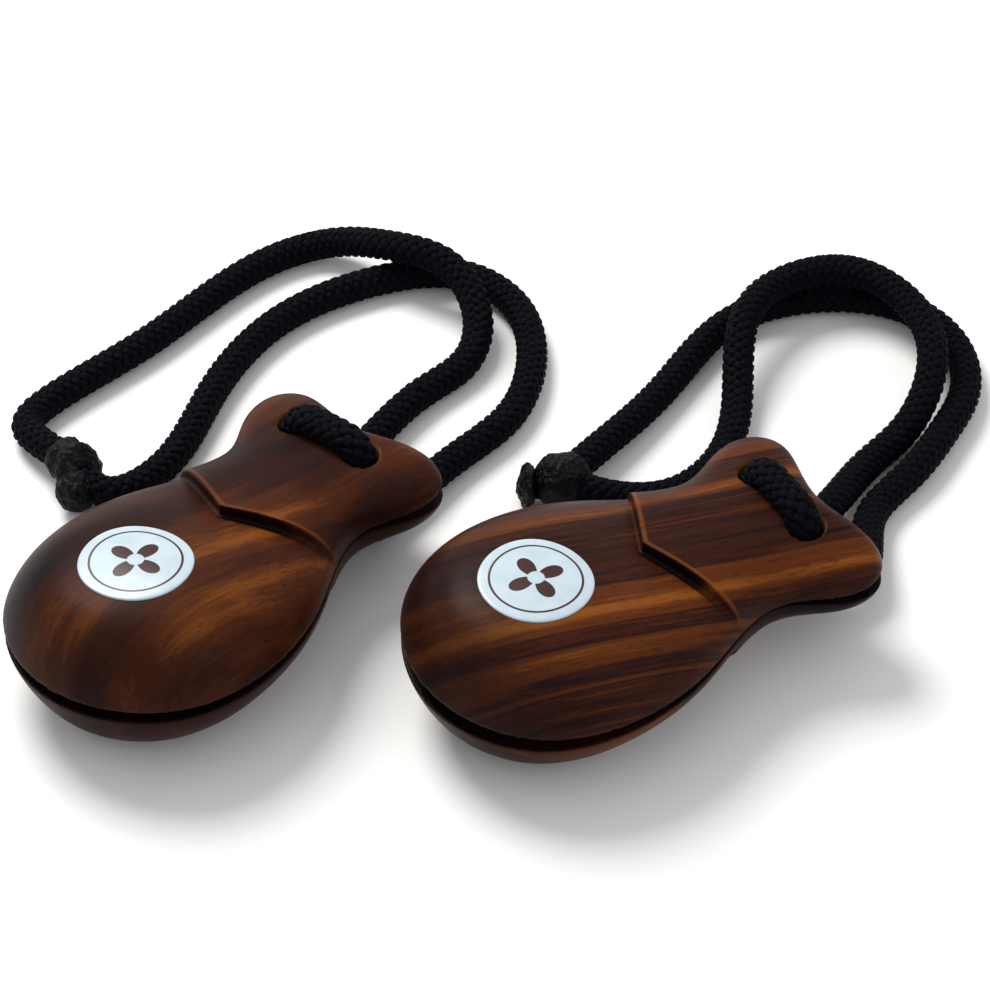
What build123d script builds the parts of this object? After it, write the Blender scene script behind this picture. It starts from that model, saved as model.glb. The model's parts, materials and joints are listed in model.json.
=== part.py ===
from build123d import *
from math import cos, pi, radians, sin, tan
import os

# A pair of hand castanets lying on a table. Each instrument is two carved hardwood shells,
# tied face to face by one braided cord that runs through a pair of holes in their ears and
# is knotted into a thumb loop.
#
# Row frame: the middle of the whole set at table height, +Z up, +X towards the right
# instrument, +Y towards the thumb loops.
# Shell frame: the origin is the fulcrum at the neck, on the mating plane. +Y points to the
# ears, -Y to the tip of the bowl, and +Z to the outside of the upper shell.

# --- Driving dimensions, millimetres and degrees --------------------------------------------

# Plan of a shell, right half, from the tip of the bowl to the notch between the ears
bowl_centre_y = -46.4
tip_y = -73.0
bowl_side = [(13.7, -70.0), (25.3, -61.0), (31.0, bowl_centre_y), (30.3, -30.3), (25.3, -16.3)]
neck = (19.2, 1.3)
ear_lobe = [(24.2, 13.5), (24.6, 23.1), (17.7, 27.8)]
notch_y = 24.9
ear_centre_y = 12.3

# Heights of the outer surface above the mating plane, and the superellipse powers of its
# cross-section: first across the plan, then up the height
bowl_height = 16.5
ear_height = 10.0
bowl_powers = (3.3, 1.35)
ear_powers = (2.3, 2.7)

# The ridge of the outer surface runs this far past the centres of the bowl and the ears
spine_reach = (5.3, 2.5)

# Carved V between bowl and ears: the ear side stands proud of the bowl
step_height = 3.6
step_apex_y = -20.0
step_slope = 0.466
relief_end_y = -8.0         # the bowl side reaches its full relief here
relief_narrowing = 0.0025   # share of the width that the bowl side loses per millimetre of relief

# Inside of a shell
cavity_size = (47.0, 41.0, 19.0)
ear_bevel = 5.15            # each ear face falls away from the mating plane, so a pair can rock
seat_gap = 0.05             # each mating face stands this far back from the mating plane
rim_skirt = 2.0             # the rim starts this far below the mating plane, and is cut off level

# Cord and the holes it runs through
cord_diameter = 7.5
cord_slack = 0.2            # the cord clears the wood it bends round by this
hole_diameter = 8.5
hole_x = 9.0
hole_y = 14.6
leg_end_gap = 0.3           # each leg stops this far short of the ear's inner face
groove_radius = 4.4         # shallow seat that the cord has worn between the two holes
loop_bend = 7.0             # radius of the loops' bends, to the cord's centreline
knot_size = (12.6, 16.0, 12.4)
knot_flat = 5.6             # strands and cord ends meet flats of the knot this far from its centre
end_reach = 9.0             # the sealed cord ends stand this far from the knot's centre
end_radius = 4.2

# Round badge on the upper bowl
badge_radius = 12.0
badge_thickness = 0.35
badge_y = -45.8
badge_start = 11.0          # above the cavity and below the dome at the badge's edge

# The cord bends sideways between these two places, beyond the holes
tail_end_y = 26.0
loop_start_y = 29.0
loop_turn_y = 33.0          # first bend of each strand

# Where each instrument lies: fulcrum, turn about Z, lift of the ears, roll, and opening
left_rest = {"at": (-44.9, -23.1), "turn": -38.3, "lift": 1.2, "roll": -2.4, "open": 2.2}
right_rest = {"at": (47.7, -41.0), "turn": -59.4, "lift": 3.8, "roll": 1.7, "open": 3.1}

# Centrelines of the thumb loops as they lie. Each far strand crosses over its near strand.
low = cord_diameter / 2
high = low + cord_diameter + 0.4    # clear of the strand underneath
left_loop = {
    "far": [(-17, 30, low), (-7, 41, low), (-4, 54, 6.5), (-11, 67, high), (-24, 74, high),
            (-39, 83.5, 5), (-53, 78.6, low), (-80, 49, low), (-100, 29, low), (-105.5, 19, 4),
            (-99, 9, 5.5)],
    "near": [(-8, 9, low), (3, 22, low), (8.5, 45, low), (4, 63, low), (-8, 73, low),
             (-32, 69, low), (-52, 54, low), (-65, 29, low), (-75, 4, low), (-84, -4, 5)],
    "knot": (-94, 2, 6.4),
    "knot_turn": 45,
    "ends_turn": -100,
}
right_loop = {
    "far": [(83, 6, low), (92.5, 17, 5), (99.5, 34, high - 1), (95, 54, high), (82, 65, high),
            (67, 61, high), (57, 46, high), (55, 27, 5), (49, 6, low), (38, -4, low), (25, -5.5, 5)],
    "near": [(82.5, -11.5, low), (92.5, 3, low), (101, 17, low), (107.5, 33, low), (103.5, 53, low),
             (91, 63, low), (72, 64, low), (54, 55, low), (38, 31, low), (20, 10, 5)],
    "knot": (14.5, -2, 6.4),
    "knot_turn": -70,
    "ends_turn": 180,
}

# --- Worked out, and fineness of the curved surfaces ----------------------------------------

cord_radius = cord_diameter / 2
bend_radius = cord_radius + cord_slack
run_height = ear_height + bend_radius
big = 200.0                 # longer than anything it has to cut
rib_count = 36
rib_points = 12


def ease(share):
    """Smooth step from 0 to 1."""
    share = min(max(share, 0.0), 1.0)
    return share * share * (3 - 2 * share)


def blend(bowl_value, ear_value, y):
    """Value at y, changing from the bowl's centre to the ears' centre."""
    share = ease((y - bowl_centre_y) / (ear_centre_y - bowl_centre_y))
    return bowl_value + (ear_value - bowl_value) * share


def egg(size):
    """Ellipsoid of a size, centred on the origin."""
    return scale(Sphere(0.5), by=size)


# --- One shell, in the shell frame ----------------------------------------------------------

def rib(edge, relief):
    """Curve over the right half of the shell from a point of its rim up to its spine."""
    nearest = min(max(edge.Y, bowl_centre_y), ear_centre_y)
    outward = (edge - Vector(0, nearest)).normalized()
    spine_y = nearest + outward.Y * blend(*spine_reach, edge.Y)
    points = [(edge.X * (1 - relief * relief_narrowing), edge.Y, -rim_skirt)]
    for row in range(rib_points + 1):
        turn = pi / 2 * row / rib_points
        across = max(cos(turn), 0.0) ** (2 / blend(bowl_powers[0], ear_powers[0], edge.Y))
        y = spine_y + (edge.Y - spine_y) * across
        sunk = relief * ease((y - bowl_centre_y) / (relief_end_y - bowl_centre_y))
        top = blend(bowl_height, ear_height, y) - sunk
        rise = sin(turn) ** (2 / blend(bowl_powers[1], ear_powers[1], y))
        points.append((edge.X * (1 - relief * relief_narrowing) * across, y, top * rise))
    return Wire([Spline(*points)])


def crown(relief):
    """Solid below the outer surface. relief sinks the surface gradually towards the step."""
    outline = [(0, tip_y), *bowl_side, neck, *ear_lobe, (0, notch_y)]
    rim = Spline(*outline, tangents=((1, 0), (-1, 0)))
    ribs = [rib(rim @ (i / rib_count), relief) for i in range(rib_count + 1)]
    right = Shell.make_loft(ribs, ruled=True)
    left = right.mirror(Plane.YZ)
    skin = [*right.faces(), *left.faces()]
    rim_edges = [face.edges().sort_by(Axis.Z)[0] for face in skin]
    return Solid(Shell([*skin, Face(Wire(rim_edges))]))


def below(angle):
    """Block below a plane through the fulcrum that rises towards the ears at an angle."""
    return Rot(angle, 0, 0) * Box(big, big, big, align=(Align.CENTER, Align.CENTER, Align.MAX))


def ear_side():
    """Block over everything on the ears' side of the V."""
    arm_y = step_apex_y + big * step_slope
    corners = [(0, step_apex_y), (big, arm_y), (big, big), (-big, big), (-big, arm_y)]
    return extrude(make_face(Polyline(*corners, close=True)), big, both=True)


def shell(bowl_crown):
    """Upper shell: stepped crown, carved cavity, bevelled ear face and two cord holes."""
    bowl = bowl_crown - ear_side() - below(0)
    bowl -= Pos(0, bowl_centre_y, 0) * egg(cavity_size)
    ears = (crown(0) & ear_side()) - below(0) - below(ear_bevel)
    body = bowl + ears
    for x in (-hole_x, hole_x):
        body -= Pos(x, hole_y, 0) * Cylinder(hole_diameter / 2, big)
    body -= Pos(0, hole_y, run_height) * Rot(0, 90, 0) * Cylinder(groove_radius, 2 * hole_x)
    return Pos(0, 0, seat_gap) * body


def badge(bowl_crown, upper):
    """Thin round badge that follows the top of the bowl."""
    disc = Pos(0, badge_y, badge_start) * extrude(Circle(badge_radius), big)
    return ((Pos(0, 0, seat_gap + badge_thickness) * bowl_crown) & disc) - upper


# --- Cord -----------------------------------------------------------------------------------

def cord_along(path):
    """Round cord along a path."""
    return sweep(Plane(origin=path @ 0, z_dir=path % 0) * Circle(cord_radius), path=path)


def leg_end():
    """Height above the mating plane where a leg stops, just inside its hole."""
    return (hole_y + cord_radius) * tan(radians(ear_bevel)) + leg_end_gap


def bridge():
    """Cord over the upper ears: down one hole, across, and down the other."""
    corners = [(-hole_x, leg_end()), (-hole_x, run_height), (hole_x, run_height), (hole_x, leg_end())]
    return cord_along(FilletPolyline(*[(x, hole_y, z) for x, z in corners], radius=bend_radius))


def leg(x):
    """Cord through a hole of the lower shell, then out under the ear."""
    corners = [(hole_y, -leg_end()), (hole_y, -run_height), (tail_end_y, -run_height)]
    return cord_along(FilletPolyline(*[(x, y, z) for y, z in corners], radius=bend_radius))


def towards(start, end):
    """Unit vector from one point to another."""
    return (Vector(*end) - Vector(*start)).normalized()


def ways_in(loop):
    """Directions from the knot's centre to the far strand, the near strand and the cord ends."""
    turn = radians(loop["ends_turn"])
    strands = [towards(loop["knot"], loop[which][-1]) for which in ("far", "near")]
    return [*strands, Vector(cos(turn), sin(turn), 0)]


def knot(loop):
    """Egg-shaped body of the glued knot, with a flat for each piece of cord that enters it."""
    centre = Vector(*loop["knot"])
    body = Pos(centre) * Rot(0, 0, loop["knot_turn"]) * egg(knot_size)
    for way in ways_in(loop):
        beyond = Box(big, big, big, align=(Align.CENTER, Align.CENTER, Align.MIN))
        body -= Plane(origin=centre + way * knot_flat, z_dir=way) * beyond
    return body


def strand(frame, x, points, knot_at):
    """One strand of a thumb loop, from beyond the ear to its flat on the knot."""
    start, turn = [(frame * Pos(x, y, -run_height)).position for y in (loop_start_y, loop_turn_y)]
    stop = Vector(*knot_at) + towards(knot_at, points[-1]) * knot_flat
    return cord_along(FilletPolyline(start, turn, *points, stop, radius=loop_bend))


def cord_ends(loop):
    """The two cord ends, trimmed off together and sealed, where they leave the knot."""
    stub = extrude(Circle(end_radius), end_reach - knot_flat)
    return Pos(*loop["knot"]) * Rot(0, 0, loop["ends_turn"]) * Pos(knot_flat, 0, 0) * Rot(0, 90, 0) * stub


# --- The set --------------------------------------------------------------------------------

def resting_frame(rest, lower):
    """Shell frame of an instrument whose lower shell rests on the table."""
    x, y = rest["at"]
    frame = Pos(x, y, 0) * Rot(0, 0, rest["turn"]) * Rot(0, rest["roll"], 0) * Rot(rest["lift"], 0, 0)
    return Pos(0, 0, -(frame * lower).bounding_box().min.Z) * frame


def instrument(side, rest, loop, upper, lower, badge_body):
    """Named solids of one instrument."""
    frame = resting_frame(rest, lower)
    opened = frame * Rot(-rest["open"], 0, 0)
    solids = {
        "lower_shell": frame * lower,
        "upper_shell": opened * upper,
        "badge": opened * badge_body,
        "cord_bridge": opened * bridge(),
        "cord_far_leg": frame * leg(-hole_x),
        "cord_near_leg": frame * leg(hole_x),
        "cord_far_strand": strand(frame, -hole_x, loop["far"], loop["knot"]),
        "cord_near_strand": strand(frame, hole_x, loop["near"], loop["knot"]),
        "cord_knot": knot(loop),
        "cord_ends": cord_ends(loop),
    }
    return {f"{side}_{name}": solid for name, solid in solids.items()}


bowl_crown = crown(step_height)
upper = shell(bowl_crown)
lower = upper.mirror(Plane.XY)
badge_body = badge(bowl_crown, upper)
solids = {
    **instrument("left", left_rest, left_loop, upper, lower, badge_body),
    **instrument("right", right_rest, right_loop, upper, lower, badge_body),
}
box = Compound(list(solids.values())).bounding_box()
to_origin = Pos(-box.center().X, -box.center().Y, -box.min.Z)

os.makedirs("parts", exist_ok=True)
for name, solid in solids.items():
    export_step(to_origin * solid, f"parts/{name}.step")
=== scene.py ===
import json
from math import atan2, cos, pi, radians, sin, tan

import bmesh
import bpy
import numpy as np
from mathutils import Matrix, Vector, noise

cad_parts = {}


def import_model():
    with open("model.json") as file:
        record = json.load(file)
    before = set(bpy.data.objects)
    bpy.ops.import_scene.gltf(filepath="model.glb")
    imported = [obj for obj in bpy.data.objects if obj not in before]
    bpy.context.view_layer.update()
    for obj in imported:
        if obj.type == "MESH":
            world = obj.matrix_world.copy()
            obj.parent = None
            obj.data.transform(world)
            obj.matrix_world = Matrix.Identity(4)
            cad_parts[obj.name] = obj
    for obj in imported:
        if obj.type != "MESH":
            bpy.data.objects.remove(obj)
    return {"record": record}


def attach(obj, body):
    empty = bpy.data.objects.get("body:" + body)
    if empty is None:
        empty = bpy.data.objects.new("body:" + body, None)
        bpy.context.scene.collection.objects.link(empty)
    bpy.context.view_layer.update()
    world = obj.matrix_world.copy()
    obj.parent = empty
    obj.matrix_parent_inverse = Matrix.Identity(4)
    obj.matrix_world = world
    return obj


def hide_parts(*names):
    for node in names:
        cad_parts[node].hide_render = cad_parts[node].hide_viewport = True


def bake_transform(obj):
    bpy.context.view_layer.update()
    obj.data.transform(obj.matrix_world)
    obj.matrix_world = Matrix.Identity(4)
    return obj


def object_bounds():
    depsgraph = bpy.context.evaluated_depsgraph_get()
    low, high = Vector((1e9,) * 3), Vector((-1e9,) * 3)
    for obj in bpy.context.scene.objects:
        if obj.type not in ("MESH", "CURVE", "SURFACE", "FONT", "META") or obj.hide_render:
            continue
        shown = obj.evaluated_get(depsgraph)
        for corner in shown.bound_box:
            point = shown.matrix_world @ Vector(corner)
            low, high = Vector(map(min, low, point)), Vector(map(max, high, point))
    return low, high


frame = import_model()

# A pair of castanets: carved rosewood shells, printed badges and braided black cords.
# Shapes are worked out in millimetres in each shell's own frame (origin at the neck on the
# mating plane, +Y to the ears, +Z to the outside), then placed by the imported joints.

cad_box = [[float(c) for c in corner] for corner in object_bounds()]
joints = {joint["name"]: joint for joint in frame["record"]["behaviour"]["joints"]}
MM = 0.001

# --- Shell dimensions, millimetres and degrees ----------------------------------------------
# Right half of the plan, from the tip of the bowl to the notch between the ears
HALF_PLAN = [(0, -73.0), (13.7, -70.0), (25.3, -61.0), (31.0, -46.4), (30.3, -30.3), (25.3, -16.3),
             (19.2, 1.3), (24.2, 13.5), (24.6, 23.1), (17.7, 27.8), (0, 24.9)]
BOWL_Y, EAR_Y = -46.4, 12.3
BOWL_HEIGHT, EAR_HEIGHT = 16.5, 10.0
BOWL_POWERS, EAR_POWERS = (3.3, 1.35), (2.3, 2.7)
SPINE_REACH = (5.3, 2.5)    # the surface's ridge runs this far past the two centres
STEP_HEIGHT, STEP_APEX_Y, STEP_SLOPE, RELIEF_END_Y = 3.6, -20.0, 0.466, -8.0
CAVITY = (47.0, 41.0, 19.0)
EAR_BEVEL = 5.15
SEAT_GAP = 0.05
SEAT_ANGLE = 0.05           # the closing limit stops this far short of shut
HOLE_X, HOLE_Y, HOLE_RADIUS = 9.0, 14.6, 4.25
VOXEL = 0.38                # size of the remeshed shell's cells
SOFTENING = 4               # rounds of smoothing that take the sharpness off every edge
BEYOND = 60.0               # cutting blocks reach this far from the neck
TOOL_LOW, TOOL_HIGH = -20, 40   # bottom and top of the upright cutting tools
BADGE_Y, BADGE_RADIUS, BADGE_THICKNESS = -45.8, 12.0, 0.35

# --- Cord dimensions, millimetres -----------------------------------------------------------
CORD_RADIUS = 3.75
BEND_RADIUS = 3.95
RUN_HEIGHT = EAR_HEIGHT + BEND_RADIUS
SWING_Y = 27.5              # where the loops bend sideways
YARNS = 6                   # yarns wound each way
LAY = 15.0                  # cord length for one turn of a yarn
YARN_HALF = (0.62, 1.02)    # half thickness and half width of a yarn
WEAVE = 0.3                 # how far a yarn rises and dips
SPACING = 0.34              # distance between the rings of points along a cord
ROOT_REACH = 24.0           # length of the strand that bends at the ear, beyond the swing's place
KNOT_REACH = 4.0            # each strand ends this far short of the knot's centre
LOW = CORD_RADIUS           # height of a cord that lies on the table
HIGH = LOW + 7.9            # height of a cord that lies over another
# Places of the necks in the layout below, which moves with them
NECKS = {"left": (-44.9, -23.1), "right": (47.7, -41.0)}
# Bumps of the dried glue: how high, and how many to a millimetre
GLUE_RELIEF = [(0.55, 0.35), (0.28, 1.1), (0.10, 3.0)]
# A lump is: way from the knot's centre in plan, how far, three radii, tilt of the third from level
LOOPS = {
    "left": {
        "far": [(-17, 30, LOW), (-7, 41, LOW), (-4, 54, 6.5), (-11, 67, HIGH), (-24, 74, HIGH),
                (-39, 83.5, 5), (-53, 78.6, LOW), (-80, 49, LOW), (-100, 29, LOW), (-105.5, 19, 4),
                (-99, 9, 5.5)],
        "near": [(-8, 9, LOW), (3, 22, LOW), (8.5, 45, LOW), (4, 63, LOW), (-8, 73, LOW),
                 (-32, 69, LOW), (-52, 54, LOW), (-65, 29, LOW), (-75, 4, LOW), (-86, -4.5, 5)],
        "knot": (-93.5, 3, 6.0),
        "lumps": [(130, 3.0, (5.0, 5.0, 4.4), 10), (-50, 1.6, (5.4, 6.2, 3.8), 28),
                  (-50, 0.0, (4.6, 5.2, 5.5), 0)],
        "ends": (-80, 7.2, (4.7, 4.7, 4.3), 12),
        "root": 4.4,        # radius of the bead between the knot and the sealed ends
    },
    "right": {
        "far": [(83, 6, LOW), (92.5, 17, 5), (99.5, 34, HIGH - 1), (95, 54, HIGH), (82, 65, HIGH),
                (67, 61, HIGH), (57, 46, HIGH), (55, 27, 5), (49, 6, LOW), (38, -4, LOW),
                (25, -5.5, 5)],
        "near": [(82.5, -11.5, LOW), (92.5, 3, LOW), (101, 17, LOW), (107.5, 33, LOW),
                 (103.5, 53, LOW), (91, 63, LOW), (72, 64, LOW), (54, 55, LOW), (38, 31, LOW),
                 (23, 10, 5)],
        "knot": (14.5, -2, 6.2),
        "lumps": [(0, 0.0, (6.1, 6.2, 6.3), 0), (30, 3.2, (5.2, 5.2, 3.6), 0)],
        "ends": (184, 7.4, (5.3, 4.9, 2.0), 8),
        "root": 3.6,
    },
}


# --- Frames ---------------------------------------------------------------------------------

def lower_frame(side):
    """Shell frame of an instrument's lower shell, from its two packed hinges."""
    rock = joints[f"{side}_shell_rock"]
    origin = Vector(rock["pos_m"])
    across = -Vector(rock["axis"]).normalized()
    down = atan2(RUN_HEIGHT, SWING_Y)
    reach = (Vector(joints[f"{side}_loop_swing"]["pos_m"]) - origin).normalized()
    side_on = across.cross(reach)
    along = cos(down) * reach + sin(down) * side_on
    out = cos(down) * side_on - sin(down) * reach
    turn = Matrix((across, along, out)).transposed().to_4x4()
    return Matrix.Translation(origin) @ turn @ Matrix.Scale(MM, 4)


def upper_frame(side):
    """The same frame, opened with the upper shell."""
    open_angle = SEAT_ANGLE - joints[f"{side}_shell_rock"]["range_deg"][0]
    return lower_frame(side) @ Matrix.Rotation(radians(-open_angle), 4, "X")


# --- Mesh helpers ---------------------------------------------------------------------------

def new_object(name, vertices, faces):
    """New object from lists of vertices and faces."""
    mesh = bpy.data.meshes.new(name)
    mesh.from_pydata([tuple(v) for v in vertices], [], faces)
    mesh.update()
    piece = bpy.data.objects.new(name, mesh)
    bpy.context.scene.collection.objects.link(piece)
    return piece


def fast_object(name, vertices, quads):
    """New object from arrays of vertices and quads."""
    mesh = bpy.data.meshes.new(name)
    mesh.vertices.add(len(vertices))
    mesh.vertices.foreach_set("co", np.asarray(vertices, np.float32).ravel())
    mesh.loops.add(quads.size)
    mesh.loops.foreach_set("vertex_index", quads.astype(np.int32).ravel())
    mesh.polygons.add(len(quads))
    mesh.polygons.foreach_set("loop_start", np.arange(0, quads.size, 4, dtype=np.int32))
    mesh.update(calc_edges=True)
    mesh.validate()
    piece = bpy.data.objects.new(name, mesh)
    bpy.context.scene.collection.objects.link(piece)
    return piece


def coordinates(mesh):
    """Vertices of a mesh as an array."""
    flat = np.zeros(len(mesh.vertices) * 3, np.float32)
    mesh.vertices.foreach_get("co", flat)
    return flat.reshape(-1, 3).astype(float)


def set_attribute(mesh, name, values):
    """Store a number or a vector for every vertex, for the materials to read."""
    kind = "FLOAT_VECTOR" if values.ndim == 2 else "FLOAT"
    key = "vector" if values.ndim == 2 else "value"
    attribute = mesh.attributes.new(name, kind, "POINT")
    attribute.data.foreach_set(key, values.astype(np.float32).ravel())


def apply_modifiers(piece):
    """Replace a piece's mesh by what its modifiers make of it."""
    bpy.context.view_layer.update()
    shape = piece.evaluated_get(bpy.context.evaluated_depsgraph_get())
    mesh = bpy.data.meshes.new_from_object(shape)
    piece.modifiers.clear()
    piece.data = mesh
    return piece


def carve(body, tool, operation):
    """Boolean of a body with a tool, which is used up."""
    cut = body.modifiers.new("carve", "BOOLEAN")
    cut.object = tool
    cut.operation = operation
    cut.solver = "MANIFOLD"
    apply_modifiers(body)
    bpy.data.objects.remove(tool)
    return body


def shade_smooth(piece):
    piece.data.polygons.foreach_set("use_smooth", np.ones(len(piece.data.polygons), bool))
    piece.data.update()


# --- Shell ----------------------------------------------------------------------------------

def ease(share):
    """Smooth step from 0 to 1."""
    share = np.clip(share, 0.0, 1.0)
    return share * share * (3 - 2 * share)


def towards_ears(y):
    """0 at the bowl's centre and 1 at the ears' centre."""
    return ease((y - BOWL_Y) / (EAR_Y - BOWL_Y))


def smooth_curve(points, step_power=0.5, closed=False, count=200):
    """Open or closed cubic spline through points, at evenly spaced parameters."""
    p = np.asarray(points, float)
    if closed:
        p = np.vstack([p, p[:1]])
    gaps = np.linalg.norm(np.diff(p, axis=0), axis=1) ** step_power
    t = np.concatenate([[0], np.cumsum(gaps)])
    n = len(p)
    a = np.zeros((n, n))
    b = np.zeros((n, p.shape[1]))
    slope = np.diff(p, axis=0) / gaps[:, None]
    for i in range(1, n - 1):
        a[i, i - 1:i + 2] = gaps[i - 1], 2 * (gaps[i - 1] + gaps[i]), gaps[i]
        b[i] = 6 * (slope[i] - slope[i - 1])
    if closed:
        a[0, [0, 1, n - 2]] = 2 * (gaps[0] + gaps[-1]), gaps[0], gaps[-1]
        b[0] = 6 * (slope[0] - slope[-1])
        a[n - 1, [0, n - 1]] = 1, -1
    else:
        a[0, 0] = a[n - 1, n - 1] = 1
    bend = np.linalg.solve(a, b)
    s = np.linspace(0, t[-1], count, endpoint=not closed)
    k = np.clip(np.searchsorted(t, s, side="right") - 1, 0, n - 2)
    h = gaps[k][:, None]
    u = (s - t[k])[:, None]
    v = h - u
    return (bend[k] * v**3 + bend[k + 1] * u**3) / (6 * h) + (p[k] / h - bend[k] * h / 6) * v + (
        p[k + 1] / h - bend[k + 1] * h / 6) * u


def crown_rows(relief, rows=30, columns=280):
    """Rings of points from the rim up to the spine."""
    left = [(-x, y) for x, y in HALF_PLAN[-2:0:-1]]
    rim = smooth_curve(HALF_PLAN + left, closed=True, count=columns)
    edge_x, edge_y = rim[:, 0], rim[:, 1]
    nearest = np.clip(edge_y, BOWL_Y, EAR_Y)
    reach = SPINE_REACH[0] + (SPINE_REACH[1] - SPINE_REACH[0]) * towards_ears(edge_y)
    spine_y = nearest + reach * (edge_y - nearest) / np.hypot(edge_x, edge_y - nearest)
    rings = []
    for row in range(rows + 1):
        turn = pi / 2 * row / rows
        power = BOWL_POWERS[0] + (EAR_POWERS[0] - BOWL_POWERS[0]) * towards_ears(edge_y)
        across = max(cos(turn), 0.0) ** (2 / power)
        y = spine_y + (edge_y - spine_y) * across
        power = BOWL_POWERS[1] + (EAR_POWERS[1] - BOWL_POWERS[1]) * towards_ears(y)
        sunk = relief * ease((y - BOWL_Y) / (RELIEF_END_Y - BOWL_Y))
        top = BOWL_HEIGHT + (EAR_HEIGHT - BOWL_HEIGHT) * towards_ears(y) - sunk
        rings.append(np.column_stack([edge_x * across, y, top * sin(turn) ** (2 / power)]))
    return np.array(rings)


def crown(relief):
    """Closed body under the outer surface."""
    rings = crown_rows(relief)
    rows, columns = rings.shape[:2]
    faces = []
    for row in range(rows - 1):
        for c in range(columns):
            here, after = row * columns + c, row * columns + (c + 1) % columns
            faces.append([here, after, after + columns, here + columns])
    faces.append(list(range(columns))[::-1])
    body = new_object("crown", rings.reshape(-1, 3), faces)
    work = bmesh.new()
    work.from_mesh(body.data)
    bmesh.ops.remove_doubles(work, verts=work.verts, dist=0.002)
    bmesh.ops.recalc_face_normals(work, faces=work.faces)
    work.to_mesh(body.data)
    work.free()
    return body


def prism(corners, low, high):
    """Upright block over a plan outline."""
    n = len(corners)
    vertices = [(x, y, z) for z in (low, high) for x, y in corners]
    faces = [list(range(n))[::-1], list(range(n, 2 * n))]
    faces += [[i, (i + 1) % n, n + (i + 1) % n, n + i] for i in range(n)]
    return new_object("prism", vertices, faces)


def ear_block():
    """Block over everything on the ears' side of the V."""
    arm_y = STEP_APEX_Y + BEYOND * STEP_SLOPE
    corners = [(0, STEP_APEX_Y), (BEYOND, arm_y), (BEYOND, BEYOND), (-BEYOND, BEYOND), (-BEYOND, arm_y)]
    return prism(corners, TOOL_LOW, TOOL_HIGH)


def cavity_tool():
    """Ellipsoid that hollows the bowl."""
    body = new_object("tool", [], [])
    work = bmesh.new()
    place = Matrix.Translation((0, BOWL_Y, 0)) @ Matrix.Diagonal((*(size / 2 for size in CAVITY), 1))
    bmesh.ops.create_uvsphere(work, u_segments=80, v_segments=40, radius=1, matrix=place)
    work.to_mesh(body.data)
    work.free()
    return body


def below(angle):
    """Block below a plane through the neck that rises towards the ears."""
    wide, long = 80, 120
    block = prism([(-wide, -long), (wide, -long), (wide, long), (-wide, long)], -BEYOND, 0)
    block.data.transform(Matrix.Rotation(radians(angle), 4, "X"))
    return block


def hole_tool(x):
    """Round bar that drills a cord hole."""
    angles = np.linspace(0, 2 * pi, 48, False)
    circle = [(x + HOLE_RADIUS * cos(a), HOLE_Y + HOLE_RADIUS * sin(a)) for a in angles]
    return prism(circle, TOOL_LOW, TOOL_HIGH)


def shell_mesh():
    """The carved upper shell in the shell frame, softened along every edge."""
    bowl = carve(crown(STEP_HEIGHT), ear_block(), "DIFFERENCE")
    ears = carve(crown(0.0), ear_block(), "INTERSECT")
    body = carve(bowl, ears, "UNION")
    carve(body, below(EAR_BEVEL), "DIFFERENCE")
    carve(body, cavity_tool(), "DIFFERENCE")
    for x in (-HOLE_X, HOLE_X):
        carve(body, hole_tool(x), "DIFFERENCE")
    remesh = body.modifiers.new("remesh", "REMESH")
    remesh.mode = "VOXEL"
    remesh.voxel_size = VOXEL
    soften = body.modifiers.new("soften", "SMOOTH")
    soften.factor = 0.5
    soften.iterations = SOFTENING
    apply_modifiers(body)
    points = coordinates(body.data)
    quads = np.array([p.vertices[:] for p in body.data.polygons])
    bpy.data.objects.remove(body)
    points[:, 2] += SEAT_GAP
    return points, quads


def painted_inside_shade_share(points):
    """1 on the mating face and in the cavity, where painted shade darkens the wood, and 0 on the outside.
    """
    _, y, z = points.T
    ear_face = np.maximum(y, 0) * tan(radians(EAR_BEVEL))
    face = 1 - ease((z - SEAT_GAP - ear_face - 0.05) / 0.35)
    wall = 1.0              # takes in the cavity's own surface
    radii = np.array(CAVITY) / 2 + wall
    hollow = np.sum(((points - (0, BOWL_Y, 0)) / radii) ** 2, axis=1)
    return np.maximum(face, hollow < 1)


def step_share(points, start, end):
    """1 along a band beside the line of the V, between two distances on the ears' side of it."""
    away = (points[:, 1] - STEP_APEX_Y - STEP_SLOPE * np.abs(points[:, 0])) / np.hypot(1, STEP_SLOPE)
    soft = 0.3
    return ease((away - start + soft) / soft) * ease((end + soft - away) / soft)


def mark_wear_and_painted_light(mesh, points):
    """Store where the wood is raw, where painted shade darkens the mating face and the cavity, where the
    V's edge is rubbed and carries a painted highlight, where painted shade darkens the V's foot, and where
    the tip is dark.
    """
    x, y, z = points.T
    gap = np.min([np.hypot(x - hole, y - HOLE_Y) for hole in (-HOLE_X, HOLE_X)], axis=0)
    set_attribute(mesh, "raw_wood", 1 - ease((gap - HOLE_RADIUS + 0.1) / 0.35))
    # Painted shade on the mating face and in the cavity
    set_attribute(mesh, "inside", painted_inside_shade_share(points))
    on_top = ease((z - 2.5) / 6)
    # Lighter band along the V's top edge: rubbed wear and a painted highlight
    set_attribute(mesh, "step_edge_wear_and_highlight", step_share(points, 0.45, 1.0) * on_top)
    # Painted shade along the V's foot, strongest on the right arm and fading along both arms
    depth = step_share(points, -1.1, 0.2) * np.where(x > -0.5, 1.0, 0.3)
    depth *= 1 - ease((np.abs(x) - 11.0) / 9.0)
    set_attribute(mesh, "step_painted_shade", depth * on_top)
    set_attribute(mesh, "tip", 1 - ease((y + 72.0) / 30.0))


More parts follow.
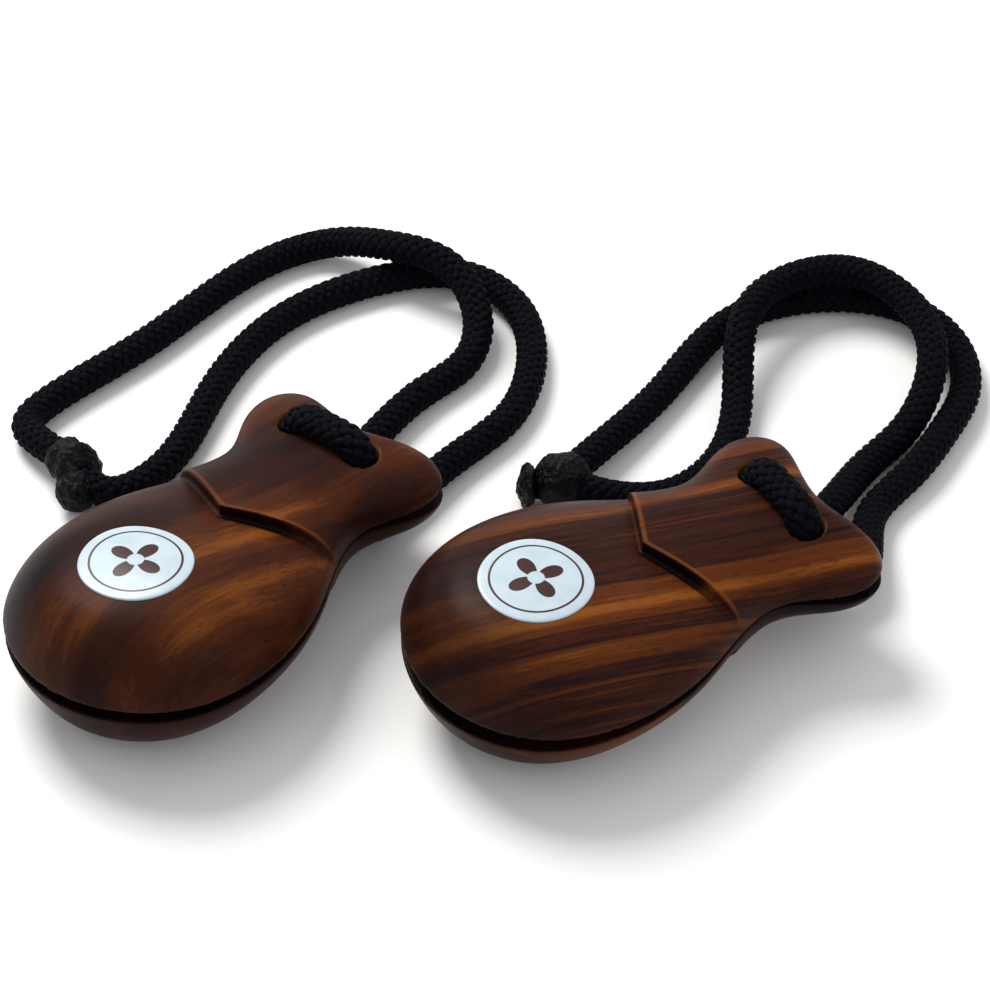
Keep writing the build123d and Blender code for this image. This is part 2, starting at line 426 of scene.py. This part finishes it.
def place_shell(name, points, quads, place, body, mirrored):
    """One shell, with its own frame's coordinates kept for the grain."""
    other_plank = 37.0      # the lower shell is cut from another part of the wood
    local = points * (1, 1, -1) if mirrored else points
    piece = fast_object(name, local, quads[:, ::-1] if mirrored else quads)
    set_attribute(piece.data, "grain_place", points + (0, 0, other_plank * mirrored))
    mark_wear_and_painted_light(piece.data, points)
    piece.data.transform(place)
    shade_smooth(piece)
    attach(piece, body)
    return piece


def dome_height(x, y, rings):
    """Height of the relieved dome over places near the badge, from the nearest of its points."""
    cloud = rings.reshape(-1, 3)
    plan = cloud[:, :2]
    heights = []
    for place in np.column_stack([x, y]):
        gap = np.sum((plan - place) ** 2, axis=1)
        near = np.argsort(gap)[:6]
        weight = 1 / (gap[near] + 0.05)
        heights.append(np.sum(cloud[near, 2] * weight) / np.sum(weight))
    return np.array(heights)


def dome_terms(x, y):
    """Terms of the smooth surface fitted under the badge, which is even from side to side."""
    return np.column_stack([x**0, y, x**2, y**2, x**2 * y, y**3, x**4, x**2 * y**2, y**4])


def dome_fit():
    """Shares of the terms that follow the bowl's dome under the badge."""
    rings = crown_rows(STEP_HEIGHT, rows=60, columns=420)
    rings = rings[:, (rings[0, :, 1] < STEP_APEX_Y)]
    grid = np.linspace(-BADGE_RADIUS, BADGE_RADIUS, 25)
    x, y = [g.ravel() for g in np.meshgrid(grid, grid)]
    inside = np.hypot(x, y) <= BADGE_RADIUS
    x, y = x[inside], y[inside]
    return np.linalg.lstsq(dome_terms(x, y), dome_height(x, y + BADGE_Y, rings), rcond=None)[0]


def badge_piece(side, place):
    """Thin round badge laid on the dome, with a rolled edge."""
    spokes = 96
    levels = [(r, BADGE_THICKNESS) for r in np.linspace(0.0, BADGE_RADIUS - 0.25, 22)[1:]]
    levels.append((BADGE_RADIUS - 0.08, BADGE_THICKNESS * 0.8))
    levels += [(BADGE_RADIUS, BADGE_THICKNESS * 0.4), (BADGE_RADIUS, -0.3)]
    angles = np.linspace(0, 2 * pi, spokes, False)
    curve = dome_fit()
    middle = dome_terms(np.zeros(1), np.zeros(1)) @ curve
    points = [(0, 0, float(middle[0]) + BADGE_THICKNESS)]
    for radius, rise in levels:
        x, y = radius * np.cos(angles), radius * np.sin(angles)
        points += list(zip(x, y, dome_terms(x, y) @ curve + rise))
    faces = [[0, 1 + i, 1 + (i + 1) % spokes] for i in range(spokes)]
    for level in range(len(levels) - 1):
        start = 1 + level * spokes
        for i in range(spokes):
            here, after = start + i, start + (i + 1) % spokes
            faces.append([here, here + spokes, after + spokes, after])
    faces.append([1 + (len(levels) - 1) * spokes + i for i in range(spokes)][::-1])
    piece = new_object(f"{side}_printed_badge", points, faces)
    set_attribute(piece.data, "badge_place", coordinates(piece.data))
    piece.data.transform(Matrix.Translation((0, BADGE_Y, SEAT_GAP)))
    piece.data.transform(place)
    shade_smooth(piece)
    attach(piece, f"{side}_upper_shell")
    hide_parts(f"{side}_badge")
    return piece


# --- Cord -----------------------------------------------------------------------------------

def even_path(points, spacing=SPACING):
    """Points at even spacing along a polyline, and the distance of each along it."""
    p = np.asarray(points, float)
    run = np.concatenate([[0], np.cumsum(np.linalg.norm(np.diff(p, axis=0), axis=1))])
    s = np.arange(0, run[-1], spacing)
    return np.column_stack([np.interp(s, run, p[:, i]) for i in range(3)]), s


def carried_frames(path):
    """Two directions across a path at each point, carried along it without twist."""
    along = np.gradient(path, axis=0)
    along /= np.linalg.norm(along, axis=1)[:, None]
    first = np.cross(along[0], (0.3, 0.2, 0.93))
    first /= np.linalg.norm(first)
    one = [first]
    for direction in along[1:]:
        v = one[-1] - direction * np.dot(one[-1], direction)
        one.append(v / np.linalg.norm(v))
    one = np.array(one)
    return one, np.cross(along, one)


def tube(centres, across, over, half_across, half_over, sides):
    """Vertices and quads of a tube with an oval section and open ends."""
    angles = np.linspace(0, 2 * pi, sides, False)
    ring = (centres[:, None] + across[:, None] * (np.cos(angles) * half_across)[None, :, None]
            + over[:, None] * (np.sin(angles) * half_over)[None, :, None])
    n = len(centres)
    i = np.arange(n - 1)[:, None] * sides
    j = np.arange(sides)[None, :]
    k = (j + 1) % sides
    quads = np.stack([i + j, i + k, i + sides + k, i + sides + j], axis=-1).reshape(-1, 4)
    return ring.reshape(-1, 3), quads


def braid(path, run, radius=CORD_RADIUS, sides=6):
    """Braided cord along a path: yarns wound both ways, over and under, around a core."""
    one, two = carried_frames(path)
    thick, wide = YARN_HALF
    scale = radius / CORD_RADIUS
    middle = radius - (thick + WEAVE) * scale
    vertices, quads, places = [], [], []
    base = 0
    for way in (1, -1):
        lift = way * WEAVE * scale * np.cos(2 * pi * YARNS * run / LAY)
        for yarn in range(YARNS):
            angle = way * 2 * pi * run / LAY + 2 * pi * yarn / YARNS
            out = one * np.cos(angle)[:, None] + two * np.sin(angle)[:, None]
            centre = path + out * (middle + lift)[:, None]
            along = np.gradient(centre, axis=0)
            along /= np.linalg.norm(along, axis=1)[:, None]
            side_on = np.cross(along, out)
            side_on /= np.linalg.norm(side_on, axis=1)[:, None]
            v, q = tube(centre, side_on, out, wide * scale, thick * scale, sides)
            vertices.append(v)
            quads.append(q + base)
            base += len(v)
            turn = np.tile(np.arange(sides) / sides, len(centre))
            number = np.full(len(v), yarn + 10.0 * way)
            places.append(np.column_stack([np.repeat(run, sides), turn, number]))
    core_sides = 16
    v, q = tube(path, one, two, middle, middle, core_sides)
    vertices.append(v)
    quads.append(q + base)
    none = np.zeros(len(v))
    places.append(np.column_stack([np.repeat(run, core_sides), none, none]))
    return np.vstack(vertices), np.vstack(quads), np.vstack(places)


def cord_piece(name, path, run, radius=CORD_RADIUS):
    """Object of braided cord along a path in millimetres."""
    vertices, quads, places = braid(path, run, radius)
    piece = fast_object(name, vertices * MM, quads)
    set_attribute(piece.data, "yarn_place", places)
    shade_smooth(piece)
    return piece


def bend(corner_before, corner, corner_after, radius, steps=10):
    """Round corner between two straight runs of a path."""
    a, b, c = [Vector(p) for p in (corner_before, corner, corner_after)]
    start = b + (a - b).normalized() * radius
    end = b + (c - b).normalized() * radius
    centre = start + end - b
    return [tuple(centre + (start - centre) * cos(t) + (end - centre) * sin(t))
            for t in np.linspace(0, pi / 2, steps)]


def in_world(place, points):
    """Shell frame points in the row frame, in millimetres."""
    return np.array([place @ Vector(p) / MM for p in points])


def press_down(piece, frame_of_shell, base, share):
    """Flatten the part of a piece above a height of its shell frame."""
    points = coordinates(piece.data) / MM
    there = np.array(frame_of_shell.inverted())
    local = (points * MM) @ there[:3, :3].T + there[:3, 3]
    local[:, 2] = np.where(local[:, 2] > base, base + (local[:, 2] - base) * share, local[:, 2])
    back = np.array(frame_of_shell)
    piece.data.vertices.foreach_set("co", (local @ back[:3, :3].T + back[:3, 3]).astype(np.float32).ravel())
    piece.data.update()


def bridge_piece(side):
    """Cord over the upper ears, pressed into its seat, with both legs down into the lower shell."""
    upper, lower = upper_frame(side), lower_frame(side)
    foot = 5.0
    over, lean = EAR_HEIGHT + 2.6, 1.1
    half_run = HOLE_X - lean
    plan = [(-HOLE_X, foot), (-half_run, over), (half_run, over), (HOLE_X, foot)]
    corners = [(x, HOLE_Y, z) for x, z in plan]
    arch = bend(*corners[:3], BEND_RADIUS) + bend(*corners[1:], BEND_RADIUS)
    top = in_world(upper, [corners[0], *arch, corners[3]])
    start = in_world(lower, [(-HOLE_X, HOLE_Y, -foot), (-HOLE_X, HOLE_Y, -foot / 2)])
    end = in_world(lower, [(HOLE_X, HOLE_Y, -foot / 2), (HOLE_X, HOLE_Y, -foot)])
    path, run = even_path(np.vstack([start, top, end]))
    piece = cord_piece(f"{side}_cord_over_ears", path, run, radius=4.0)
    press_down(piece, upper, EAR_HEIGHT - 0.4, 0.82)
    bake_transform(piece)
    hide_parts(f"{side}_cord_bridge")
    return [piece]


def strand_path(side, which, x):
    """One strand from inside the lower ear, under it, and round the loop into the knot."""
    lower = lower_frame(side)
    loop = LOOPS[side]
    corners = [(x, HOLE_Y, -4.0), (x, HOLE_Y, -RUN_HEIGHT), (x, SWING_Y - 1.5, -RUN_HEIGHT)]
    head = in_world(lower, [corners[0], *bend(*corners, BEND_RADIUS)])
    begin = in_world(lower, [corners[2], (x, SWING_Y + 1.5, -RUN_HEIGHT)])
    lying = laid_out(side, [*loop[which], loop["knot"]])
    tail = smooth_curve(np.vstack([begin, lying]), step_power=0.8, count=700)
    return even_path(np.vstack([head, tail]))


def laid_out(side, point):
    """A point of the loops' layout in the row frame, in millimetres."""
    neck = joints[f"{side}_shell_rock"]["pos_m"]
    shift = np.array([neck[0] / MM - NECKS[side][0], neck[1] / MM - NECKS[side][1], 0.0])
    return np.array(point, float) + shift


def strand_pieces(side, which, x):
    """A strand in two pieces: the root bends beyond the ear, the rest rides with the loop."""
    path, run = strand_path(side, which, x)
    split = int(np.searchsorted(run, RUN_HEIGHT + SWING_Y - HOLE_Y + ROOT_REACH))
    last = int(np.searchsorted(run, run[-1] - KNOT_REACH))
    root = cord_piece(f"{side}_{which}_strand_root", path[:split + 1], run[:split + 1])
    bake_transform(root)
    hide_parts(f"{side}_cord_{which}_leg")
    rest = cord_piece(f"{side}_{which}_strand", path[split:last], run[split:last])
    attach(rest, f"{side}_thumb_loop")
    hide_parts(f"{side}_cord_{which}_strand")
    return [root, rest]


def lump(piece, start, heading, reach, radii, tilt, seed):
    """Uneven bead of glue-soaked cord joined into a piece's mesh, its third radius along a heading."""
    way = Vector((cos(radians(heading)), sin(radians(heading)), 0))
    aimed = Vector((way.x, way.y, tan(radians(tilt)))).to_track_quat("Z", "Y").to_matrix().to_4x4()
    place = Matrix.Translation((Vector(start) + way * reach) * MM) @ aimed
    work = bmesh.new()
    work.from_mesh(piece.data)
    made = bmesh.ops.create_icosphere(work, subdivisions=6, radius=1)
    for vertex in made["verts"]:
        ball = vertex.co.copy()
        spot = Vector([c * r for c, r in zip(ball, radii)]) + Vector((seed, 0, 0))
        rise = sum(size * noise.noise(spot * pitch) for size, pitch in GLUE_RELIEF)
        vertex.co = place @ (Vector([c * r for c, r in zip(ball, radii)]) * MM + ball * rise * MM)
    work.to_mesh(piece.data)
    work.free()


def knot_pieces(side):
    """Glued knot: wraps of cord under dried glue, and the ends cut off together and sealed."""
    loop = LOOPS[side]
    centre = laid_out(side, loop["knot"])
    knot = new_object(f"{side}_glued_knot", [], [])
    for seed, (heading, reach, radii, tilt) in enumerate(loop["lumps"]):
        lump(knot, centre, heading, reach, radii, tilt, seed * 20)
    ends = new_object(f"{side}_sealed_ends", [], [])
    heading, reach, radii, tilt = loop["ends"]
    drop = Vector((0, 0, radii[1] - loop["knot"][2] + 0.3))
    lump(ends, Vector(centre) + drop, heading, reach, radii, tilt, 90)
    lump(ends, Vector(centre) + drop, heading, reach * 0.55, (loop["root"],) * 3, 0, 130)
    for piece, node in ((knot, "cord_knot"), (ends, "cord_ends")):
        shade_smooth(piece)
        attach(piece, f"{side}_thumb_loop")
        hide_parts(f"{side}_{node}")
    return [knot, ends]


# --- Materials ------------------------------------------------------------------------------

# Colours of the wood's details, of the painted shade and highlight laid on it, and the badge's print
DARK_LINE = (0.008, 0.003, 0.006)
PORE = (0.006, 0.002, 0.002)
DARK_TIP = (0.010, 0.003, 0.003)
# The next colour is rubbed wear on the V's top edge together with a painted highlight
RUBBED_EDGE_AND_HIGHLIGHT = (0.20, 0.055, 0.010)
# The next colour is painted shade at the foot of the V's step
PAINTED_STEP_SHADE = (0.004, 0.001, 0.002)
# The next colour is painted shade on the mating face and in the cavity
PAINTED_INSIDE_SHADE = (0.004, 0.002, 0.002)
RAW_WOOD = (0.40, 0.15, 0.03)
BADGE_PRINT = (0.035, 0.007, 0.004)


def new_material(name):
    """New material with one shader, and its node tree."""
    material = bpy.data.materials.new(name)
    material.use_nodes = True
    tree = material.node_tree
    tree.nodes.clear()
    shader = tree.nodes.new("ShaderNodeBsdfPrincipled")
    output = tree.nodes.new("ShaderNodeOutputMaterial")
    tree.links.new(shader.outputs[0], output.inputs[0])
    return material, tree, shader


def add(tree, kind, inputs=None, **settings):
    """New node; an input is a value or a socket to link."""
    node = tree.nodes.new(kind)
    for key, value in settings.items():
        setattr(node, key, value)
    connect(tree, node, inputs or {})
    return node


def connect(tree, node, inputs):
    """Set each input of a node to a value, or link it to a socket."""
    for key, value in inputs.items():
        if isinstance(value, bpy.types.NodeSocket):
            tree.links.new(value, node.inputs[key])
        else:
            node.inputs[key].default_value = value


def sums(tree, operation, a, b=0.0, c=0.0, clamp=False):
    """Result of a sum on values or sockets."""
    node = add(tree, "ShaderNodeMath", {0: a, 1: b, 2: c}, operation=operation, use_clamp=clamp)
    return node.outputs[0]


def plus(tree, a, b):
    return sums(tree, "ADD", a, b)


def minus(tree, a, b):
    return sums(tree, "SUBTRACT", a, b)


def times(tree, a, b, clamp=False):
    return sums(tree, "MULTIPLY", a, b, clamp=clamp)


def noise_at(tree, place, scale, detail):
    """Even noise around a place."""
    inputs = {"Vector": place, "Scale": scale, "Detail": detail}
    return add(tree, "ShaderNodeTexNoise", inputs).outputs["Fac"]


def stretched_noise(tree, place, scale, detail, rough):
    """Noise with its own scale along each axis."""
    mapped = add(tree, "ShaderNodeVectorMath", {0: place, 1: scale}, operation="MULTIPLY").outputs[0]
    inputs = {"Vector": mapped, "Scale": 1.0, "Detail": detail, "Roughness": rough, "Distortion": 0.0}
    return add(tree, "ShaderNodeTexNoise", inputs).outputs["Fac"]


def bumps(tree, strength, depth, height):
    """Surface direction with bumps of a depth in metres."""
    inputs = {"Strength": strength, "Distance": depth, "Height": height}
    return add(tree, "ShaderNodeBump", inputs).outputs[0]


def ramp(tree, value, stops):
    """Colour for a value, from pairs of place and colour."""
    node = add(tree, "ShaderNodeValToRGB", {0: value})
    node.color_ramp.interpolation = "EASE"
    while len(node.color_ramp.elements) < len(stops):
        node.color_ramp.elements.new(0.5)
    for element, (place, colour) in zip(node.color_ramp.elements, stops):
        element.position = place
        element.color = (*colour, 1)
    return node.outputs[0]


def tinted(tree, share, colour, tint):
    """Colour mixed towards a tint by a share; the node's colours are its inputs 6 and 7."""
    node = add(tree, "ShaderNodeMix", {0: share, 6: colour, 7: (*tint, 1)}, data_type="RGBA")
    return node.outputs[2]


def masked(tree, attribute, share, colour, tint):
    """Colour mixed towards a tint where a mesh attribute is set."""
    mask = add(tree, "ShaderNodeAttribute", attribute_name=attribute).outputs["Fac"]
    return tinted(tree, times(tree, mask, share), colour, tint)


def grain(tree, turned, look):
    """Colour of the growth layers, with thin dark lines between some of them, and the fine noise."""
    streaks = stretched_noise(tree, turned, look["streak_scale"], 2.5, 0.55)
    fine = stretched_noise(tree, turned, (1.5, 0.05, 0.5), 3, 0.6)
    figure = stretched_noise(tree, turned, look["figure_scale"], 2, 0.5)
    value = times(tree, streaks, look["streak_share"])
    value = sums(tree, "MULTIPLY_ADD", fine, look["fine_share"], value)
    value = sums(tree, "MULTIPLY_ADD", figure, look["figure_share"], value)
    from_line = sums(tree, "ABSOLUTE", minus(tree, streaks, look["line_level"]))
    sharpness = 26.0
    line = sums(tree, "SUBTRACT", 1.0, times(tree, from_line, sharpness), clamp=True)
    line_share = times(tree, times(tree, line, look["line_share"]), times(tree, figure, 2.0))
    return tinted(tree, line_share, ramp(tree, value, look["colours"]), DARK_LINE), fine


def pore_share(tree, turned):
    """1 in the short open pores along the grain."""
    pores = stretched_noise(tree, turned, (3.2, 0.33, 1.1), 1, 0.5)
    level, sharpness = 0.585, 6.0
    return times(tree, minus(tree, pores, level), sharpness, clamp=True)


def wood(name, look):
    """Oiled rosewood: dark and light growth layers along the length, soft figure, and fine pores."""
    material, tree, shader = new_material(name)
    place = add(tree, "ShaderNodeAttribute", attribute_name="grain_place").outputs["Vector"]
    turned = add(tree, "ShaderNodeMapping", {"Vector": place, "Rotation": look["grain_turn"]}).outputs[0]
    colour, fine = grain(tree, turned, look)
    pore = pore_share(tree, turned)
    colour = tinted(tree, times(tree, pore, 0.5), colour, PORE)
    colour = masked(tree, "tip", look["tip_share"], colour, DARK_TIP)
    # Rubbed wear and a painted highlight on the V's edge
    colour = masked(tree, "step_edge_wear_and_highlight", look["edge_wear_and_highlight_share"], colour, RUBBED_EDGE_AND_HIGHLIGHT)
    # Painted shade at the V's foot
    colour = masked(tree, "step_painted_shade", 0.97, colour, PAINTED_STEP_SHADE)
    # Painted shade on the mating face and in the cavity
    colour = masked(tree, "inside", 0.85, colour, PAINTED_INSIDE_SHADE)
    colour = masked(tree, "raw_wood", 0.6, colour, RAW_WOOD)
    sheen = sums(tree, "MULTIPLY_ADD", fine, 0.2, look["roughness"])
    relief = minus(tree, times(tree, fine, 0.3), pore)
    connect(tree, shader, {
        "Base Color": colour, "Roughness": sheen, "Normal": bumps(tree, 0.2, 0.00008, relief),
        "Coat Weight": 0.02, "Coat Roughness": 0.35, "Specular IOR Level": 0.10, "IOR": 1.3,
    })
    return material


# Scales are per millimetre across, along and through the shell; shares weigh the noises
LEFT_WOOD = {
    "grain_turn": (0.0, 0.12, 0.12),
    "streak_scale": (0.12, 0.006, 0.02), "figure_scale": (0.055, 0.030, 0.03),
    "streak_share": 0.45, "fine_share": 0.13, "figure_share": 0.42,
    "line_level": 0.44, "line_share": 0.25,
    # edge_wear_and_highlight_share weighs the rubbed wear and painted highlight on the V's edge
    "roughness": 0.33, "edge_wear_and_highlight_share": 0.35, "tip_share": 0.55,
    "colours": [(0.37, (0.006, 0.0020, 0.0035)), (0.46, (0.022, 0.0055, 0.003)),
                (0.56, (0.052, 0.013, 0.004)), (0.68, (0.16, 0.046, 0.008))],
}
RIGHT_WOOD = {
    "grain_turn": (0.0, -0.6, 0.19),
    "streak_scale": (0.17, 0.0024, 0.012), "figure_scale": (0.05, 0.022, 0.03),
    "streak_share": 0.66, "fine_share": 0.18, "figure_share": 0.16,
    "line_level": 0.49, "line_share": 0.7,
    # edge_wear_and_highlight_share weighs the rubbed wear and painted highlight on the V's edge
    "roughness": 0.30, "edge_wear_and_highlight_share": 0.5, "tip_share": 0.75,
    "colours": [(0.39, (0.008, 0.0028, 0.0045)), (0.46, (0.030, 0.0075, 0.0035)),
                (0.55, (0.080, 0.020, 0.0045)), (0.68, (0.19, 0.056, 0.009))],
}


def cord_material(name, colour, roughness, coat, sparkle, lumps, relief):
    """Black braided yarn with a twist along each yarn, or the same soaked in glue."""
    material, tree, shader = new_material(name)
    place = add(tree, "ShaderNodeAttribute", attribute_name="yarn_place").outputs["Vector"]
    along, around, _ = add(tree, "ShaderNodeSeparateXYZ", {0: place}).outputs
    fibre = sums(tree, "SINE", plus(tree, times(tree, along, 9.0), times(tree, around, 12.57)))
    object_place = add(tree, "ShaderNodeTexCoord").outputs["Object"]
    fuzz = noise_at(tree, object_place, 2600.0, 3.0)
    patch = noise_at(tree, object_place, 260.0, 2.0)
    worn = [c * 2.4 for c in colour]
    mixed = plus(tree, times(tree, fuzz, 0.5), times(tree, patch, 0.5))
    height = plus(tree, times(tree, fibre, 0.35), times(tree, fuzz, 1.2))
    height = plus(tree, height, times(tree, patch, lumps))
    bump = bumps(tree, relief, 0.00018, height)
    finish = plus(tree, times(tree, patch, 0.25), roughness - 0.12)
    connect(tree, shader, {
        "Base Color": ramp(tree, mixed, [(0.4, colour), (0.68, worn)]), "Roughness": finish,
        "Normal": bump, "Coat Weight": coat, "Coat Roughness": 0.1, "Coat Normal": bump,
        "Specular IOR Level": sparkle,
    })
    return material


def rosette(tree, x, y):
    """1 on the badge's printed mark: four petals around an open eye, inside a thin ring."""
    petal_reach, eye_radius, ring_radius, sharpness = 6.4, 1.7, 9.6, 6.0
    radius = sums(tree, "SQRT", plus(tree, times(tree, x, x), times(tree, y, y)))
    angle = sums(tree, "ARCTAN2", y, x)
    petals = sums(tree, "ABSOLUTE", sums(tree, "COSINE", times(tree, angle, 2.0)))
    petals = times(tree, petals, petal_reach)
    flower = times(tree, minus(tree, petals, radius), sharpness, clamp=True)
    eye = times(tree, minus(tree, radius, eye_radius), sharpness, clamp=True)
    from_ring = sums(tree, "ABSOLUTE", minus(tree, radius, ring_radius))
    ring = sums(tree, "SUBTRACT", 1.0, times(tree, from_ring, 3.2), clamp=True)
    ring = times(tree, ring, 2.5, clamp=True)
    return sums(tree, "MAXIMUM", times(tree, flower, eye), ring, clamp=True)


def badge_material():
    """Glossy pale print with a plain ring and a four-petal rosette."""
    material, tree, shader = new_material("printed badge")
    place = add(tree, "ShaderNodeAttribute", attribute_name="badge_place").outputs["Vector"]
    x, y, _ = add(tree, "ShaderNodeSeparateXYZ", {0: place}).outputs
    cloud = noise_at(tree, place, 0.25, 2.0)
    paper = ramp(tree, cloud, [(0.35, (0.43, 0.53, 0.59)), (0.65, (0.48, 0.57, 0.63))])
    grit = noise_at(tree, place, 5.0, 3.0)
    connect(tree, shader, {
        "Base Color": tinted(tree, rosette(tree, x, y), paper, BADGE_PRINT),
        "Roughness": plus(tree, times(tree, grit, 0.12), 0.2),
        "Normal": bumps(tree, 0.08, 0.00005, grit),
        "Coat Weight": 0.12, "Coat Roughness": 0.2, "Specular IOR Level": 0.3,
    })
    return material


def give(pieces, material):
    """Put one material on pieces."""
    for piece in pieces:
        piece.data.materials.clear()
        piece.data.materials.append(material)


# --- Build the set --------------------------------------------------------------------------

points, quads = shell_mesh()
woods = {"left": wood("left rosewood", LEFT_WOOD), "right": wood("right rosewood", RIGHT_WOOD)}
yarn = cord_material("braided yarn", (0.0008, 0.0009, 0.0024), roughness=0.74, coat=0.0,
                     sparkle=0.06, lumps=0.5, relief=0.6)
glued = cord_material("glued yarn", (0.0008, 0.0009, 0.0020), roughness=0.40, coat=0.10,
                      sparkle=0.05, lumps=1.2, relief=1.0)
badge_look = badge_material()

for side in ("left", "right"):
    for level, place in (("upper", upper_frame(side)), ("lower", lower_frame(side))):
        name = f"{side}_{level}_shell"
        piece = place_shell(f"{name}_carved", points, quads, place, name, level == "lower")
        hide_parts(name)
        give([piece], woods[side])
    give([badge_piece(side, upper_frame(side))], badge_look)
    give(bridge_piece(side), yarn)
    give(strand_pieces(side, "far", -HOLE_X), yarn)
    give(strand_pieces(side, "near", HOLE_X), yarn)
    give(knot_pieces(side), glued)


# --- Floor, light and camera ----------------------------------------------------------------

FLOOR_HALF = 3.0            # metres
FLOOR_DROP = 0.0001         # the floor lies this far under the set
SKY_STRENGTH = 0.7
# The camera looks down at a point beyond the two necks, given in millimetres from between them
AIM_SHIFT = (-1.4, 32.05)
CAMERA_ELEVATION, CAMERA_DISTANCE, LENS = 42.4, 0.846, 138.2


def soft_light(name, place, size, power, colour):
    """Round lamp that shines at the middle of the set."""
    data = bpy.data.lights.new(name, "AREA")
    data.shape = "DISK"
    data.size = size
    data.energy = power
    data.color = colour
    lamp = bpy.data.objects.new(name, data)
    bpy.context.scene.collection.objects.link(lamp)
    lamp.location = place
    lamp.rotation_euler = (-Vector(place)).to_track_quat("-Z", "Y").to_euler()


def floor():
    """Plain pale floor just under the set."""
    corners = [(x * FLOOR_HALF, y * FLOOR_HALF, 0) for x, y in ((-1, -1), (1, -1), (1, 1), (-1, 1))]
    plane = new_object("floor", corners, [[0, 1, 2, 3]])
    plane.location.z = cad_box[0][2] - FLOOR_DROP
    material, tree, shader = new_material("pale floor")
    speckle = add(tree, "ShaderNodeTexNoise", {"Scale": 90.0, "Detail": 2.0}).outputs["Fac"]
    tone = ramp(tree, speckle, [(0.3, (0.86, 0.86, 0.86)), (0.7, (0.88, 0.88, 0.88))])
    connect(tree, shader, {"Base Color": tone, "Roughness": 0.9})
    give([plane], material)


def world():
    """Even white surroundings."""
    sky = bpy.data.worlds.new("studio")
    sky.use_nodes = True
    back = sky.node_tree.nodes["Background"]
    back.inputs[0].default_value = (1.0, 1.0, 1.0, 1)
    back.inputs[1].default_value = SKY_STRENGTH
    bpy.context.scene.world = sky


def camera():
    """Camera at the height and distance that give the set its perspective."""
    left, right = [Vector(joints[f"{side}_shell_rock"]["pos_m"]) for side in ("left", "right")]
    middle = (left + right) / 2
    aim = Vector((middle.x + AIM_SHIFT[0] * MM, middle.y + AIM_SHIFT[1] * MM, cad_box[0][2]))
    elevation = radians(CAMERA_ELEVATION)
    data = bpy.data.cameras.new("camera")
    data.lens = LENS
    data.sensor_width = 36.0
    data.clip_start = 0.05
    view = bpy.data.objects.new("camera", data)
    bpy.context.scene.collection.objects.link(view)
    view.location = aim + Vector((0, -cos(elevation), sin(elevation))) * CAMERA_DISTANCE
    view.rotation_euler = (pi / 2 - elevation, 0, 0)
    bpy.context.scene.camera = view


floor()
world()
camera()
soft_light("key", (-0.35, 0.45, 0.75), size=0.5, power=9.0, colour=(1.0, 0.98, 0.95))
soft_light("fill", (0.6, -0.5, 0.6), size=0.6, power=0.6, colour=(0.95, 0.97, 1.0))
bpy.context.scene.view_settings.view_transform = "Standard"
